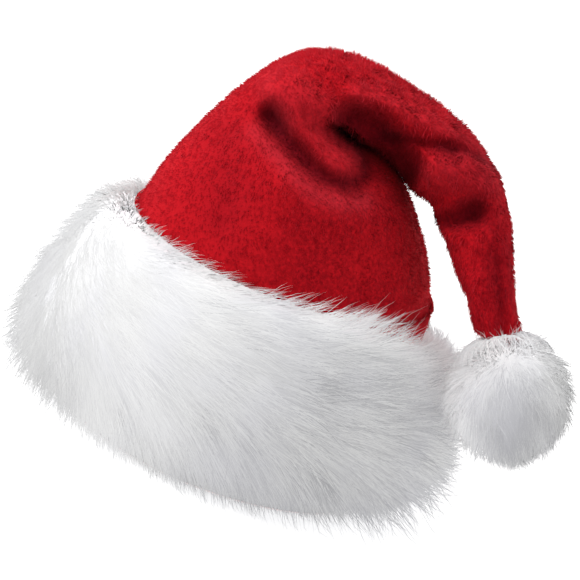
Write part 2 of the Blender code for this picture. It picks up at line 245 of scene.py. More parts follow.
# Crown: sections from the rim to the end of the tail, each an ellipse between an outer and
# an inner point. x, sway and the depths are shares of crownRadius, z are shares of crownHeight.
# outerX outerZ innerX innerZ sway front back
sections = (
    (-1.00, 0.000, 1.00, 0.000, 0.00, 1.00, 1.00),
    (-1.00, 0.450, 0.99, 0.450, 0.00, 0.99, 0.99),
    (-0.985, 0.500, 0.96, 0.500, 0.00, 0.98, 0.98),
    (-0.96, 0.550, 0.91, 0.550, 0.00, 0.96, 0.96),
    (-0.925, 0.604, 0.84, 0.604, 0.00, 0.93, 0.93),
    (-0.87, 0.658, 0.74, 0.658, 0.00, 0.88, 0.88),
    (-0.80, 0.723, 0.61, 0.723, 0.00, 0.81, 0.82),
    (-0.72, 0.785, 0.41, 0.782, 0.00, 0.71, 0.75),
    (-0.63, 0.847, 0.19, 0.817, 0.00, 0.59, 0.67),
    (-0.53, 0.907, 0.03, 0.837, 0.00, 0.51, 0.61),
    (-0.44, 0.946, 0.01, 0.844, 0.00, 0.47, 0.57),
    (-0.33, 0.974, 0.02, 0.851, 0.00, 0.45, 0.55),
    (-0.14, 0.997, 0.08, 0.847, 0.00, 0.43, 0.53),
    (0.05, 0.999, 0.15, 0.835, 0.02, 0.42, 0.51),
    (0.25, 0.988, 0.26, 0.821, 0.04, 0.41, 0.49),
    (0.45, 0.971, 0.37, 0.801, 0.06, 0.40, 0.47),
    (0.63, 0.953, 0.49, 0.774, 0.06, 0.39, 0.45),
    (0.79, 0.932, 0.60, 0.751, 0.04, 0.37, 0.43),
    (0.91, 0.908, 0.69, 0.746, 0.00, 0.35, 0.40),
    (1.02, 0.884, 0.74, 0.737, -0.06, 0.33, 0.37),
    (1.11, 0.856, 0.79, 0.719, -0.12, 0.31, 0.34),
    (1.18, 0.825, 0.84, 0.703, -0.18, 0.29, 0.31),
    (1.27, 0.772, 0.92, 0.672, -0.27, 0.26, 0.27),
    (1.34, 0.716, 1.02, 0.637, -0.35, 0.24, 0.24),
    (1.42, 0.656, 1.12, 0.601, -0.43, 0.20, 0.20),
    (1.535, 0.583, 1.250, 0.538, -0.50, 0.15, 0.15),
)

# Folds pressed into the front: first section, last section, width, push and edge, and points
# (x as a share of crownRadius, height across the line of pressing as a share of crownHeight).
folds = dict(
    hip=(2, 8, 0.150, -0.035, 2.0, ((-0.61, 0.684), (-0.51, 0.584), (-0.44, 0.494))),
    lobe=(5, 15, 0.165, 0.175, 3.5,
          ((-0.38, 0.835), (-0.22, 0.803), (-0.08, 0.775), (0.03, 0.750), (0.10, 0.730))),
    crease=(3, 12, 0.055, -0.120, 1.4,
            ((-0.40, 0.762), (-0.30, 0.734), (-0.18, 0.709), (-0.04, 0.684), (0.06, 0.673),
             (0.16, 0.675), (0.24, 0.690), (0.28, 0.715), (0.26, 0.742), (0.19, 0.770),
             (0.10, 0.800))),
    dimple=(4, 12, 0.087, -0.060, 2.0, ((-0.42, 0.770), (-0.34, 0.750))),
    underRoll=(3, 11, 0.160, 0.050, 2.0, ((-0.12, 0.625), (0.09, 0.603), (0.37, 0.635))),
    hollow=(8, 20, 0.115, -0.270, 3.0,
            ((0.10, 0.813), (0.20, 0.815), (0.33, 0.794), (0.48, 0.754))),
    roof=(12, 20, 0.087, 0.069, 2.0,
          ((0.06, 0.880), (0.25, 0.895), (0.50, 0.888), (0.72, 0.878), (0.91, 0.860))),
    seam=(13, 21, 0.035, -0.075, 1.3,
          ((0.32, 0.817), (0.52, 0.831), (0.71, 0.846), (0.83, 0.855), (0.97, 0.850))),
    bulge=(15, 21.5, 0.130, 0.110, 3.0, ((0.70, 0.779), (0.84, 0.798), (0.97, 0.808))),
    lip=(19.3, 25, 0.090, -0.150, 2.5, ((0.74, 0.687), (0.85, 0.701), (0.96, 0.723))),
    groove=(22, 26, 0.045, -0.045, 1.4,
            ((1.22, 0.641), (1.28, 0.593), (1.36, 0.532), (1.44, 0.465))),
    # The last two press nothing: they only lay a painted shade on the tail's right side and a
    # painted highlight along the ridge below the crease.
    shadedTailSide=(16, 26, 0.130, 0.0, 2.0,
              ((0.72, 0.845), (0.99, 0.781), (1.20, 0.685), (1.36, 0.580))),
    highlightCrest=(2, 12, 0.075, 0.0, 2.0,
           ((-0.44, 0.715), (-0.30, 0.690), (-0.14, 0.657), (0.02, 0.636), (0.18, 0.634),
            (0.33, 0.655))),
)
foldFade = 0.7  # sections over which a fold fades at its ends
foldFacing = 0.35  # how far the plush turns from the press before a fold is full
foldUnder = dict(hollow=-0.75, lip=-0.6)  # where a fold starts that reaches round an underside


# Points of a section at angle a: x, z = middle + half (inner - outer) cos a, and
# y = sway - depth sin a.
def sectionPoints(places, angles):
    table = spline(sections, places)[:, None, :]
    outerX, outerZ, innerX, innerZ, sway, front, back = np.moveaxis(table, -1, 0)
    across, depth = np.cos(angles), np.sin(angles)
    x = (outerX + innerX) / 2 + (innerX - outerX) / 2 * across
    z = (outerZ + innerZ) / 2 + (innerZ - outerZ) / 2 * across
    y = sway - np.where(depth > 0, front, back) * depth
    points = np.stack([x * crownRadius, y * crownRadius, z * crownHeight], axis=-1)
    points[..., 2] += rimLift * (1 - ease(0, 1, places))[:, None]
    return points


# Outward normals: the step along the rings crossed with the step round the sides.
def outward(points):
    around = np.roll(points, -1, axis=1) - np.roll(points, 1, axis=1)
    return unit(np.cross(np.gradient(points, axis=0), around))


# Distance from points in a plane to a smooth path: the least |q - a - t (b - a)| over its
# short straight runs, with t = (q - a).(b - a) / |b - a|^2 held in 0 to 1.
def distanceTo(path, flat):
    curve = spline(path, np.linspace(0, len(path) - 1, 8 * len(path)))
    nearest = np.full(flat.shape[:2], np.inf)
    for start, end in zip(curve[:-1], curve[1:]):
        run = end - start
        part = np.clip((flat - start) @ run / (run @ run), 0, 1)
        nearest = np.minimum(nearest, np.linalg.norm(flat - start - part[..., None] * run, axis=-1))
    return nearest


# Share of each fold at each point: exp(-(distance / width)^edge) times its span of sections.
def foldShares(points, places):
    height = points[..., 2] * math.cos(foldLean) + points[..., 1] * math.sin(foldLean)
    flat = np.stack([points[..., 0], height], axis=-1)
    size = np.array([crownRadius, crownHeight])
    shares = {}
    for name, (first, last, width, _push, edge, path) in folds.items():
        away = distanceTo(np.array(path) * size, flat)
        span = (ease(first - foldFade, first + foldFade, places)
                * (1 - ease(last - foldFade, last + foldFade, places)))
        shares[name] = np.exp(-(away / (width * crownRadius)) ** edge) * span[:, None]
    return shares


# Shares times how squarely the plush faces the press: w = ease(low, low + facing, n . press),
# where low lets the hollow and the lip reach round to the underside of the tail.
def pressedShares(points, places):
    square = outward(points) @ pressDirection
    shares = foldShares(points, places)
    for name in shares:
        low = foldUnder.get(name, 0.0)
        shares[name] = shares[name] * ease(low, low + foldFacing, square)
    return shares


# Section points moved along the line of pressing by the sum of push times pressed share.
def foldedPoints(places, angles):
    points = sectionPoints(places, angles)
    total = sum(folds[name][3] * share for name, share in pressedShares(points, places).items())
    return points + (total * crownRadius)[..., None] * pressDirection


# Painted shade and painted highlight of the pile: how much each fold's colour is darkened where it
# lies in shade, and each crest's lightened where light falls on it
foldPaintedShade = dict(hip=0.22, crease=0.85, dimple=0.28, hollow=0.80, seam=0.50, lip=0.80,
                 groove=0.22, shadedTailSide=0.28)
foldPaintedHighlight = dict(highlightCrest=0.75, lobe=0.35, roof=0.40, bulge=0.35)


# Painted shade and painted highlight of the pile, each the sum of weight times pressed share, held
# in 0 to 1.
def foldPaintedLight(places, angles):
    shares = pressedShares(sectionPoints(places, angles), places)
    return [np.clip(sum(weight * shares[name] for name, weight in weights.items()), 0, 1)[..., None]
            for weights in (foldPaintedShade, foldPaintedHighlight)]


# Middle of the last section, at the end of the tail.
def tailEnd():
    outerX, outerZ, innerX, innerZ, sway = sections[-1][:5]
    return np.array([(outerX + innerX) / 2 * crownRadius, sway * crownRadius,
                     (outerZ + innerZ) / 2 * crownHeight])


pompomCentre = tailEnd() + pompomHang * (neckLength + sewGap + pompomRadius)


# Axes of the pompom: away from the neck, and two across it, D = unit(F - H (F . H)) and D x H
# with F to the front.
def pompomAxes():
    forward = np.array([0.0, -1.0, 0.0])
    deep = unit(forward - pompomHang * (forward @ pompomHang))
    return pompomHang, deep, np.cross(deep, pompomHang)


# Plush of the crown
crownShape = dict(sides=180, hiddenRings=8, rings=201, frontBias=0.5,
                  foldedSide=math.radians(65), crush=0.0005, crushSize=0.011, fine=0.0003,
                  fineSize=0.0045, tailCrush=0.0007, tailSize=0.008, tailRun=(17, 21),
                  sunk=0.0013, sunkMore=0.5, sunkRun=(7, 10), seenRun=(0.6, 1.2),
                  thickRun=(2, 4), thicker=0.3)
# Plush colours; the last two are a painted highlight, then a painted shade.
plushColours = dict(closed=(0.250, 0.0026, 0.0075, 1.0), opened=(0.62, 0.0080, 0.0160, 1.0),
                    flat=(0.53, 0.0065, 0.0135, 1.0), broad=(0.66, 0.0090, 0.0150, 1.0),
                    paintedHighlight=(0.74, 0.050, 0.075, 1.0), paintedShade=(0.095, 0.0035, 0.0095, 1.0))
plushSheen = (1.0, 0.10, 0.14, 1.0)


# Painted shade and painted highlight: deep red where a fold lies in shade, pale rose where light
# falls on a crest.
def paintedFoldColour(tree, colour):
    paintedHighlight = remap(tree, attribute(tree, "paintedHighlight"), 0.0, 1.0, 0.0, 0.40)
    colour = blendColour(tree, paintedHighlight, colour, plushColours["paintedHighlight"])
    paintedShade = remap(tree, attribute(tree, "paintedShade"), 0.0, 1.0, 0.0, 0.82)
    return blendColour(tree, paintedShade, colour, plushColours["paintedShade"])


# Red plush: clumps of closed and open pile, even at the left, with broad lighter clouds, and the
# folds' painted shade and painted highlight.
def plushMaterial():
    material, tree, shader = newMaterial("red_plush", 0.92, 0.12, plushSheen)
    broad = remap(tree, objectNoise(tree, 38, 2.0), 0.35, 0.65)
    clump = remap(tree, objectNoise(tree, 420, 3.0, 0.6), 0.32, 0.68)
    colour = blendColour(tree, clump, plushColours["closed"], plushColours["opened"])
    colour = blendColour(tree, attribute(tree, "mottle"), plushColours["flat"], colour)
    broadShare = remap(tree, broad, 0.0, 1.0, 0.0, 0.35)
    colour = blendColour(tree, broadShare, colour, plushColours["broad"])
    tree.links.new(paintedFoldColour(tree, colour), shader.inputs["Base Color"])
    bump = addNode(tree, "ShaderNodeBump", {"Strength": 0.55, "Distance": 0.0012,
                                            "Height": objectNoise(tree, 560, 3.0, 0.65)})
    tree.links.new(bump.outputs["Normal"], shader.inputs["Normal"])
    return material


# Crushed relief along the normals: the sum of depth times noise, less what is sunk for the pile.
def crushed(points, places):
    normal = outward(points)
    seen = ease(*crownShape["seenRun"], places)[:, None]
    tail = ease(*crownShape["tailRun"], places)[:, None]
    relief = (crownShape["crush"] * cloud(points, crownShape["crushSize"], 1)
              + crownShape["fine"] * cloud(points, crownShape["fineSize"], 2)
              + tail * crownShape["tailCrush"] * cloud(points, crownShape["tailSize"], 3))
    more = crownShape["sunkMore"] * ease(*crownShape["sunkRun"], places)
    sunk = crownShape["sunk"] * (1 + more)[:, None]
    return points + ((relief - sunk) * seen)[..., None] * normal


# Neck: the ring c + r (-cos a A + sin a D) square to the way the pompom hangs.
def neckRing(angles):
    hang, deep, across = pompomAxes()
    ring = -np.cos(angles)[:, None] * across + np.sin(angles)[:, None] * deep
    return tailEnd() + hang * neckLength + neckRadius * ring


# Angles, sections and points of the outer wall. Angles crowd on the folded side, by
# a - bias sin(a - side), and rings where the fur doesn't hide them.
def crownGrid():
    even = np.linspace(0, 2 * math.pi, crownShape["sides"], endpoint=False)
    angles = even - crownShape["frontBias"] * np.sin(even - crownShape["foldedSide"])
    last = len(sections) - 1
    places = np.concatenate([np.linspace(0, 1, crownShape["hiddenRings"], endpoint=False),
                             np.linspace(1, last, crownShape["rings"])])
    return angles, places, crushed(foldedPoints(places, angles), places)


crownAngles, crownPlaces, crownPoints = crownGrid()
crownNormals = outward(crownPoints)
# Painted shade of the folds and painted highlight of the crests, at each point of the grid.
crownPaintedShade, crownPaintedHighlight = foldPaintedLight(crownPlaces, crownAngles)


# How mottled the pile is: m = 0.15 + 0.85 ease(x), least at the left, where it lies flat.
def mottled(points):
    return 0.15 + 0.85 * ease(*flatSide, points[..., 0])


# Closed skin of the crown: outer wall and neck, rim, and an inner wall on every second ring,
# q = p + wall unit(middle of the ring - p).
def buildPlush():
    sides = crownShape["sides"]
    inner = crownPoints[::2]
    thicker = crownShape["thicker"] * ease(*crownShape["thickRun"], crownPlaces[::2])
    wall = plushWall * (1 + thicker)[:, None, None]
    inner = inner + wall * unit(inner.mean(axis=1, keepdims=True) - inner)
    outer = np.concatenate([crownPoints, neckRing(crownAngles)[None]])
    start = len(outer) * sides
    points = np.concatenate([outer.reshape(-1, 3), inner.reshape(-1, 3)])
    side = np.arange(sides)
    after = (side + 1) % sides
    rim = np.stack([side, after, start + after, start + side], axis=-1)
    top = (start - sides + side)[None]
    # Painted shade, painted highlight and mottle of each point, none on the neck and the inner
    # wall.
    tones = {name: np.append(tone, np.zeros(len(points) - tone.size)) for name, tone in
             (("paintedShade", crownPaintedShade), ("paintedHighlight", crownPaintedHighlight), ("mottle", mottled(crownPoints)))}
    innerTop = (start + (len(inner) - 1) * sides + side)[None, ::-1]
    faceSets = [ringFaces(len(outer), sides), ringFaces(len(inner), sides, start, True), rim,
                top, innerTop]
    return addMesh("plush", points, faceSets, plushMaterial(), tones)


plush = buildPlush()
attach(plush, "root")
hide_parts("crown")
report("plush")

# Pile of the crown: dense short needles, and longer ones on the folds and the tail. first is the
# section it starts from, and the tip highlight is how strongly a painted highlight pales its tips.
pileSets = dict(
    crown_pile=dict(count=36500, rings=1, first=0.9, length=0.0026, foldLength=0.0030,
                    radius=0.00042, out=0.70, fall=0.40, wild=0.55, tips=0.2, seed=5),
    crown_tufts=dict(count=7500, rings=2, first=5.0, length=0.0036, foldLength=0.0050,
                     radius=0.00030, out=0.30, fall=0.70, wild=0.45, tips=0.55, seed=6),
)
pileShape = dict(low=0.112, lowerBehind=0.030, behind=(-0.03, 0.04), denseRun=(9, 12), denser=0.6,
                 longRun=(8, 13), tailRun=(16, 21), tailFlow=0.35, patch=0.005, toneSize=0.006,
                 rootDepth=0.0004, bend=0.3, flat=0.8)
# Pile colours: low and high by tone, and a painted highlight for the tips.
pileColours = dict(low=(0.32, 0.0020, 0.0080, 1.0), high=(0.64, 0.0080, 0.0180, 1.0),
                   tip=(0.76, 0.050, 0.075, 1.0))
pileSheen = (1.0, 0.2, 0.22, 1.0)


# Pile from its low to its high colour by tone, its tips paled by a painted highlight, with the
# folds' painted shade and painted highlight.
def pileMaterial(name, tipShare):
    material, tree, shader = newMaterial(name, 0.92, 0.10, pileSheen)
    colour = blendColour(tree, attribute(tree, "tone"), pileColours["low"], pileColours["high"])
    tip = remap(tree, attribute(tree, "along"), 0.4, 1.0, 0.0, tipShare)
    colour = paintedFoldColour(tree, blendColour(tree, tip, colour, pileColours["tip"]))
    tree.links.new(colour, shader.inputs["Base Color"])
    return material


# Random places on a closed grid, as likely as their area times a weight: a quad picked by the
# running sum of weight |A x B|, then a bilinear point in it.
def scatter(points, weight, count, rng):
    along = points[1:] - points[:-1]
    around = np.roll(points, -1, axis=1) - points
    area = np.linalg.norm(np.cross(along, around[:-1]), axis=-1) * weight[:-1]
    total = np.cumsum(area.ravel())
    pick = np.searchsorted(total, rng.uniform(0, total[-1], count))
    ring, side = np.unravel_index(pick, area.shape)
    return ring, side, rng.uniform(0, 1, count), rng.uniform(0, 1, count)


# Bilinear value of a closed grid: ((1 - u) g00 + u g10) (1 - v) + ((1 - u) g01 + u g11) v.
def gridAt(grid, ring, side, u, v):
    after = (side + 1) % grid.shape[1]
    u, v = u[:, None], v[:, None]
    return ((grid[ring, side] * (1 - u) + grid[ring + 1, side] * u) * (1 - v)
            + (grid[ring, after] * (1 - u) + grid[ring + 1, after] * u) * v)


# Each needle starts in the plush and bends: p(t) = root + length (d t + 0.3 (d - n) t^2).
def buildPile(name, shape, material):
    rng = np.random.default_rng(shape["seed"])
    count = shape["count"]
    dense = pileShape["denser"] * ease(*pileShape["denseRun"], crownPlaces)[:, None]
    behind = ease(*pileShape["behind"], crownPoints[..., 1])
    low = pileShape["low"] - pileShape["lowerBehind"] * behind
    weight = np.where(crownPoints[..., 2] > low, 1.0 + dense, 0.0)
    weight[crownPlaces < shape["first"]] = 0
    ring, side, u, v = scatter(crownPoints, weight, count, rng)
    root = gridAt(crownPoints, ring, side, u, v)
    normal = unit(gridAt(crownNormals, ring, side, u, v))
    along = unit(np.gradient(crownPoints, axis=0)[ring, side])
    tail = pileShape["tailFlow"] * ease(*pileShape["tailRun"], crownPlaces[ring])[:, None]
    down = np.array([0.0, 0.0, -1.0]) + normal * normal[:, 2:]
    wild = np.stack([cloud(root, pileShape["patch"], seed) for seed in (11, 12, 13)], axis=-1)
    wild = wild + 0.3 * rng.normal(0, 0.5, (count, 3))
    wild = wild * (0.4 + 0.6 * ease(*flatSide, root[:, :1]))
    ahead = unit(shape["out"] * normal + shape["fall"] * down + tail * along
                 + shape["wild"] * wild)
    longer = shape["foldLength"] - shape["length"]
    longer = longer * ease(*pileShape["longRun"], crownPlaces[ring])
    length = (shape["length"] + longer) * rng.uniform(0.7, 1.25, count)
    part = np.linspace(0, 1, shape["rings"] + 1)[None, :, None]
    bend = (ahead - normal) * pileShape["bend"]
    paths = (root[:, None] - pileShape["rootDepth"] * normal[:, None]
             + length[:, None, None] * (ahead[:, None] * part + bend[:, None] * part ** 2))
    taper = np.linspace(1.0, 0.8, shape["rings"])
    radii = shape["radius"] * rng.uniform(0.7, 1.3, count)[:, None] * taper
    mottle = mottled(root)
    cloudy = 0.40 * cloud(root, pileShape["toneSize"], 21) - 0.08 + rng.normal(0, 0.2, count)
    # Tone at each root, and the folds' painted shade and painted highlight there.
    tones = {"tone": np.clip(0.6 + mottle * cloudy, 0, 1),
             "paintedShade": gridAt(crownPaintedShade, ring, side, u, v)[:, 0],
             "paintedHighlight": gridAt(crownPaintedHighlight, ring, side, u, v)[:, 0]}
    return addNeedles(name, paths, radii, normal, pileShape["flat"], material, tones,
                      0.85 - 0.25 * mottle)


for name, shape in pileSets.items():
    pile = buildPile(name, shape, pileMaterial(name, shape["tips"]))
    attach(pile, "root")
    report(name)


# White fur: dark and light colour of each kind, and a faint blue for broad clouds. The dark colours
# also carry painted shade: in the gaps between the hairs on the base, and on the hairs towards the
# right and away from the top edge
furColours = dict(base=((0.70, 0.70, 0.72, 1.0), (0.92, 0.92, 0.93, 1.0)),
                  hair=((0.56, 0.56, 0.58, 1.0), (0.93, 0.93, 0.93, 1.0)),
                  core=((0.72, 0.72, 0.73, 1.0), (0.88, 0.88, 0.88, 1.0)))
furCloud = (0.80, 0.80, 0.86, 1.0)
white = (1.0, 1.0, 1.0, 1.0)


# Fur between its dark and light colour by tone, which holds random variation as well as painted
# shade and painted light, with broad clouds.
def furMaterial(name, kind):
    material, tree, shader = newMaterial(name, 0.9, 0.15, white)
    colour = blendColour(tree, attribute(tree, "tone"), *furColours[kind])
    broad = remap(tree, objectNoise(tree, 22, 1.0), 0.4, 0.7, 0.0, 0.35)
    colour = blendColour(tree, broad, colour, furCloud)
    tree.links.new(colour, shader.inputs["Base Color"])
    return material


# Band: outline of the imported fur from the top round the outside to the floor, reach as a
# share of bandDepth and height of bandHeight.
bandOutline = ((0.00, 1.00), (0.22, 0.99), (0.50, 0.92), (0.76, 0.76), (0.94, 0.56),
               (1.00, 0.36), (0.95, 0.18), (0.82, 0.06), (0.62, 0.00))
bandShape = dict(sides=360, rows=48, lump=0.0022, lumpSize=0.026, lumpRun=(0, 1.5), sink=0.003,
                 floorGap=0.0005, full=0.0055, fullFrom=(0.3, 2.0), fullTo=(4.6, 6.4),
                 drawnIn=0.015, drawnRun=(5.6, 7.2), lower=((20, 0.22), (115, 0.10)),
                 tuck=0.004, rise=0.5, riseSide=-22)

# Flow of the fur at each point of the outline: out, round and up are the parts of a hair's
# direction, length a share of the hair length.
# out round up length
bandFlow = (
    (0.85, 0.62, 0.02, 0.50),
    (0.74, 0.80, 0.10, 0.70),
    (0.56, 0.98, 0.08, 0.92),
    (0.44, 1.00, 0.06, 1.05),
    (0.40, 0.98, -0.06, 1.12),
    (0.42, 0.88, -0.22, 1.12),
    (0.48, 0.62, -0.55, 1.00),
    (0.50, 0.42, -0.85, 0.90),
    (0.55, 0.32, -0.80, 0.80),
)
# How much more the fur rises at the right, and falls at the front, at each point
bandRise = (0.0, 0.10, 0.18, 0.20, 0.16, 0.05, 0.0, 0.0, 0.0)
bandFall = (0.0, 0.0, 0.0, 0.0, 0.10, 0.32, 0.30, 0.0, 0.0)
riseSide, fallSide = math.radians(315), math.radians(275)


# Height of the foot of the fur, a shallow cone that is steeper at the right front:
# h = (tan(lean) + rise max(cos(turn from the right front), 0)^2) max(r - foot, 0).
def footHeight(points, tuck):
    radius = np.hypot(points[..., 0], points[..., 1])
    side = math.radians(bandShape["riseSide"])
    right = (points[..., 0] * math.cos(side) + points[..., 1] * math.sin(side)) / radius
    slope = math.tan(foldLean) + bandShape["rise"] * np.maximum(right, 0) ** 2
    return slope * np.maximum(radius - crownRadius - tuck, 0)


# A point of the band at an angle and a place q along the outline, with its unit vectors: out
# of the fur, round the hat, and up the outline. r = inner + depth reach(q) and
# z = height level(q) (1 - lower), lumpy, full at mid height and drawn in at the foot.
def bandFrame(angle, place, sink=0.0):
    reach, level = np.moveaxis(spline(bandOutline, place), -1, 0)
    step = spline(bandOutline, place + 0.05) - spline(bandOutline, place - 0.05)
    step = step * np.array([bandDepth, bandHeight])
    size = np.maximum(np.hypot(step[..., 0], step[..., 1]), 1e-9)
    stepR, stepZ = np.moveaxis(step / size[..., None], -1, 0)[..., None]
    cos, sin, none = np.cos(angle), np.sin(angle), np.zeros_like(angle)
    radial, ahead = np.stack([cos, sin, none], axis=-1), np.stack([-sin, cos, none], axis=-1)
    lift = np.array([0.0, 0.0, 1.0])
    out = lift * stepR - radial * stepZ
    up = -(radial * stepR + lift * stepZ)
    radius = crownRadius + sewGap + bandDepth * np.maximum(reach, 0)
    lower = sum(share * np.maximum(np.cos(angle - math.radians(side)), 0) ** 2
                for side, share in bandShape["lower"])
    point = radial * radius[..., None] + lift * (level * bandHeight * (1 - lower))[..., None]
    lump = (bandShape["lump"] * cloud(point, bandShape["lumpSize"], 31)
            * ease(*bandShape["lumpRun"], place))
    full = (bandShape["full"] * ease(*bandShape["fullFrom"], place)
            * (1 - ease(*bandShape["fullTo"], place))
            - bandShape["drawnIn"] * ease(*bandShape["drawnRun"], place))
    point = point + out * (lump - sink + full)[..., None]
    point[..., 2] = np.maximum(point[..., 2], bandShape["floorGap"] + footHeight(point, 0))
    return point, out, ahead, up


# Lighter and darker streaks of the fur, drawn out along the way round: smooth noise of
# (0.3 angle radius, z), at two sizes.
def streaks(points, seed):
    along = np.arctan2(points[..., 1], points[..., 0]) * 0.3 * (crownRadius + bandDepth)
    flat = np.stack([along, points[..., 2], 0 * along], axis=-1)
    return 0.6 * cloud(flat, 0.0055, seed) + 0.4 * cloud(flat, 0.0022, seed + 1)


# How strongly the fur is streaked and darkened by painted shade: less at the left and near the top,
# in full light.
def streakedAndShaded(points, place):
    return (0.25 + 0.95 * ease(-0.09, 0.06, points[..., 0])) * (0.4 + 0.6 * ease(0.3, 1.6, place))


# Base of the band: the outline turned about Z, its flat underside and the wall on the plush.
def buildBandBase():
    rows, sides = bandShape["rows"], bandShape["sides"]
    place = np.linspace(0, len(bandOutline) - 1, rows)[:, None]
    angle = -np.linspace(0, 2 * math.pi, sides, endpoint=False)[None, :]
    place, angle = np.broadcast_arrays(place, angle)
    outside, out, _ahead, _up = bandFrame(angle, place)
    shrink = bandShape["sink"] * ease(0, 1.2, place)
    outside = outside - out * shrink[..., None]
    wall = (crownRadius + sewGap) * np.stack([np.cos(angle[0]), np.sin(angle[0])], axis=-1)
    outside[0] = np.concatenate([wall, outside[0][:, 2:]], axis=1)
    low = np.concatenate([wall, np.full((sides, 1), bandShape["floorGap"])], axis=1)
    points = np.concatenate([outside, low[None]])
    side = np.arange(sides)
    after = (side + 1) % sides
    inside = np.stack([rows * sides + side, side, after, rows * sides + after], axis=-1)
    faces = np.concatenate([ringFaces(rows + 1, sides), inside])
    flat = points.reshape(-1, 3)
    # The base's tone: painted shade of the gaps between the hairs, deeper towards the right and
    # away from the top edge, with streaks.
    mottle = streakedAndShaded(flat, np.append(place.ravel(), np.full(sides, 8.0)))
    tone = np.clip(0.85 - mottle * (0.45 - 0.6 * streaks(flat, 33)), 0, 1)
    return addMesh("fur_base", flat, [faces], furMaterial("white_fur", "base"), {"tone": tone})


base = buildBandBase()
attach(base, "root")
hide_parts("fur_band")
report("band base")

# Hair sets of the band: under wool, locks drawn to a point, guard hairs, and wisps at the
# foot. draw is how far a hair closes on its lock's middle, spread a lock's width, soft how
# evenly a hair is shaded, and trim the share of the foot's height that it stays above.
hairSets = dict(
    fur_under=dict(locks=1500, count=13000, length=0.032, radius=0.00034, draw=0.45, spread=0.0085,
                   out=0.85, wild=0.18, rings=2, bright=0.0, soft=0.92, trim=(0.8, 1.3), seed=41),
    fur_over=dict(locks=2300, count=9800, length=0.037, radius=0.00025, draw=0.65, spread=0.0070,
                  out=1.0, wild=0.22, rings=3, bright=0.1, soft=0.88, trim=(0.6, 1.2), seed=42),
    fur_guard=dict(locks=4200, count=9800, length=0.042, radius=0.00016, draw=0.2, spread=0.0060,
                   out=1.1, wild=0.30, rings=3, bright=0.2, soft=0.75, trim=(0.0, 1.1), seed=43),
    fur_wisps=dict(locks=420, count=1500, length=0.036, radius=0.00019, draw=0.3, spread=0.0070,
                   out=1.0, wild=0.35, rings=3, bright=-0.15, soft=0.75, trim=(-0.4, 0.3), seed=44,
                   span=(5.0, 7.3), flow=(0.72, 0.50, -0.42, 1.0)),
)
hairShape = dict(steps=400, span=(0.2, 8.6), places=(0.05, 8.0), deeper=0.001, wave=0.0009,
                 leastRoot=0.002, leastKept=0.3, flat=0.7, aboveFloor=0.002)
hairTapers = {2: (0.9, 0.85), 3: (0.9, 1.0, 0.7)}


# Roots of the hairs: locks lie evenly along the outline and round the hat, hairs near their
# middles.
def hairRoots(shape, rng):
    locks, count = shape["locks"], shape["count"]
    steps = np.linspace(0, hairShape["span"][1], hairShape["steps"])
    line = spline(bandOutline, steps) * np.array([bandDepth, bandHeight])
    run = np.append(0, np.cumsum(np.linalg.norm(np.diff(line, axis=0), axis=1)))
    lockAngle = rng.uniform(0, 2 * math.pi, locks)
    first, last = np.interp(shape.get("span", hairShape["span"]), steps, run)
    lockPlace = np.interp(rng.uniform(first, last, locks), run, steps)
    which = rng.integers(0, locks, count)
    off = rng.normal(0, 0.5, (count, 2)) * shape["spread"]
    slope = run[-1] / steps[-1]
    angle = lockAngle[which] + off[:, 0] / (crownRadius + bandDepth)
    place = np.clip(lockPlace[which] + off[:, 1] / slope, *hairShape["places"])
    root, out, ahead, up = bandFrame(angle, place, bandShape["sink"] + hairShape["deeper"])
    lockPlace = np.clip(lockPlace, *hairShape["places"])
    middle = bandFrame(lockAngle, lockPlace, bandShape["sink"])[0][which]
    return dict(which=which, angle=angle, place=place, root=root, middle=middle, out=out,
                ahead=ahead, up=up)


# Direction of each hair, d = unit(out o + round a + up u), by the flow, smooth swings, the
# fur's rise and fall, and leans of locks and hairs.
def hairDirections(shape, rng, hair, flow):
    angle, place, middle = hair["angle"], hair["place"], hair["middle"]
    swing = cloud(middle, 0.030, 51) * 0.22 + cloud(middle, 0.012, 52) * 0.12
    lean = (rng.normal(0, 1, (shape["locks"], 3)) * shape["wild"] * 0.55)[hair["which"]]
    lean = lean + rng.normal(0, 1, (shape["count"], 3)) * shape["wild"] * 0.35
    lean = lean * (0.6 + 0.4 * ease(-0.10, 0.02, hair["root"][:, :1]))
    rows = range(len(bandRise))
    rising = (np.interp(place, rows, bandRise) * np.cos(angle - riseSide)
              - np.interp(place, rows, bandFall) * np.maximum(np.cos(angle - fallSide), 0) ** 2)
    outPart = flow[:, :1] * shape["out"] + 0.4 * lean[:, :1]
    roundPart = flow[:, 1:2] + 0.6 * lean[:, 1:2]
    upPart = flow[:, 2:3] + (swing + rising)[:, None] + lean[:, 2:3]
    return unit(hair["out"] * outPart + hair["ahead"] * roundPart + hair["up"] * upPart)


# How near an angle is to a side given in degrees: exp(-((a - side) / width)^2).
def nearSide(angle, side, width):
    return np.exp(-((angle - math.radians(side)) / width) ** 2)


# Length of each hair: the flow's share, less at the top behind, more at the top right, the
# lower right corner and the left, times random shares of hair and lock.
def hairLengths(shape, rng, hair, flow):
    angle, place = hair["angle"], hair["place"]
    stray = nearSide(angle, 308, 0.32) * (1 - ease(0.2, 1.6, place))
    corner = nearSide(angle, 335, 0.5) * ease(4.2, 5.6, place)
    left = nearSide(angle, 192, 0.5) * ease(2.2, 3.6, place)
    behind = np.maximum(np.cos(angle - math.radians(25)), 0) ** 3 * (1 - ease(0.8, 2.4, place))
    length = flow[:, 3] * (1 - 0.5 * behind) + 0.45 * stray + 0.30 * corner + 0.32 * left
    length = shape["length"] * length * rng.uniform(0.75, 1.12, shape["count"])
    return length * rng.uniform(0.85, 1.1, shape["locks"])[hair["which"]]


